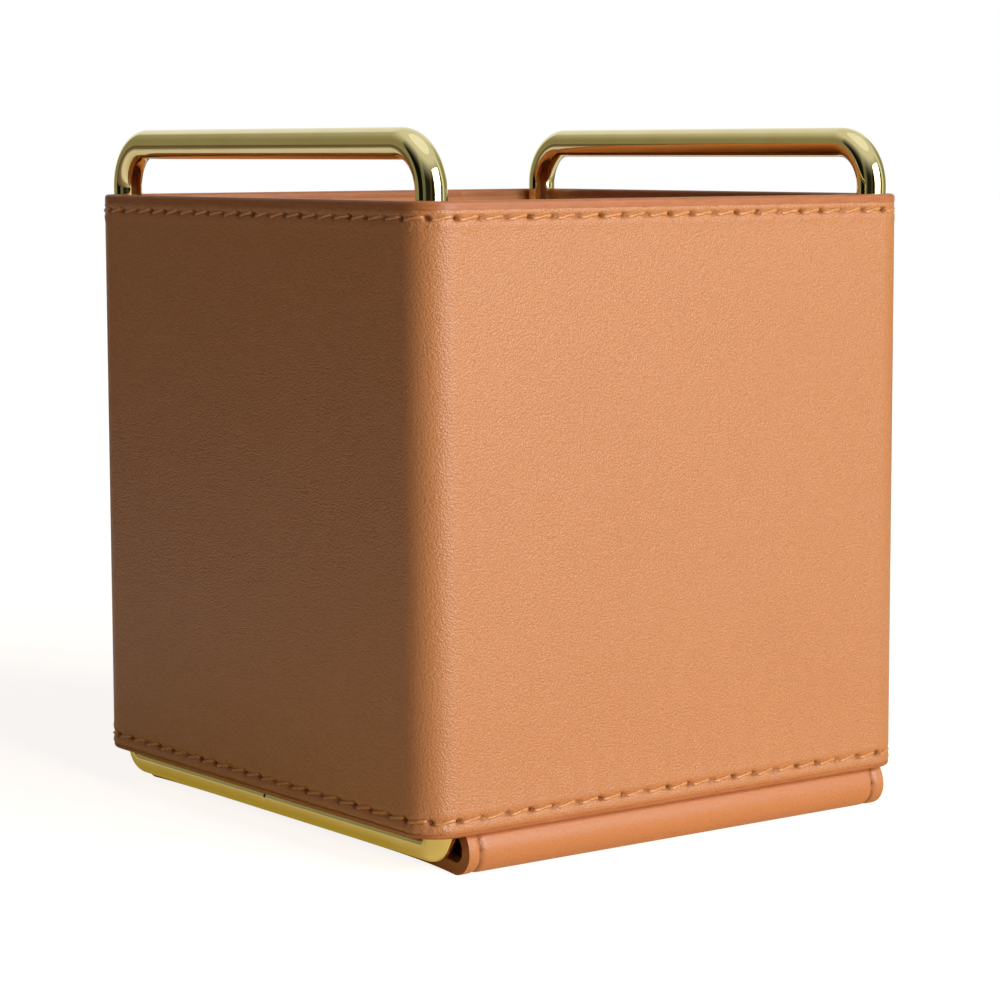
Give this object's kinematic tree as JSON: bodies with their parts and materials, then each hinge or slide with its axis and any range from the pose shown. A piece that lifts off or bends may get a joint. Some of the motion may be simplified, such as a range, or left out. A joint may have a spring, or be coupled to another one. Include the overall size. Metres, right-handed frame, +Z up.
{
  "type": "pen holder",
  "caption": "Square desk pen holder: a stitched leather band on a leather strap, with closed metal loops that form handles above the rim and feet below.",
  "frame": {"origin": "centre of the holder's footprint, on the surface that it stands on", "axes": "+Z up; the plain front face is at -Y; the loops stand across X, one at each side, and lean in by 1.2 mm at the foot"},
  "size_m": [0.0958, 0.0958, 0.1095],
  "materials": {
    "leather": "fine pebble grain, semi-matt",
    "lining": "smooth leather",
    "board": "grey fibre board",
    "edge_coat": "smooth edge paint",
    "thread": "twisted waxed thread",
    "floor_lining": "short suede nap",
    "metal": "polished pale gold plating"
  },
  "bodies": {
    "root": {"band_outer_leather": "leather", "band_lining": "lining", "front_board": "board", "back_board": "board", "left_board": "board", "right_board": "board", "rim_edge_coat": "edge_coat", "hem_edge_coat": "edge_coat", "rim_stitching": "thread", "hem_stitching": "thread", "strap_outer_leather": "leather", "strap_inner_leather": "lining", "strap_stitching_left": "thread", "strap_stitching_right": "thread", "floor_board": "board", "floor_lining": "floor_lining", "loop_left": "metal", "loop_right": "metal"}
  },
  "joints": []
}
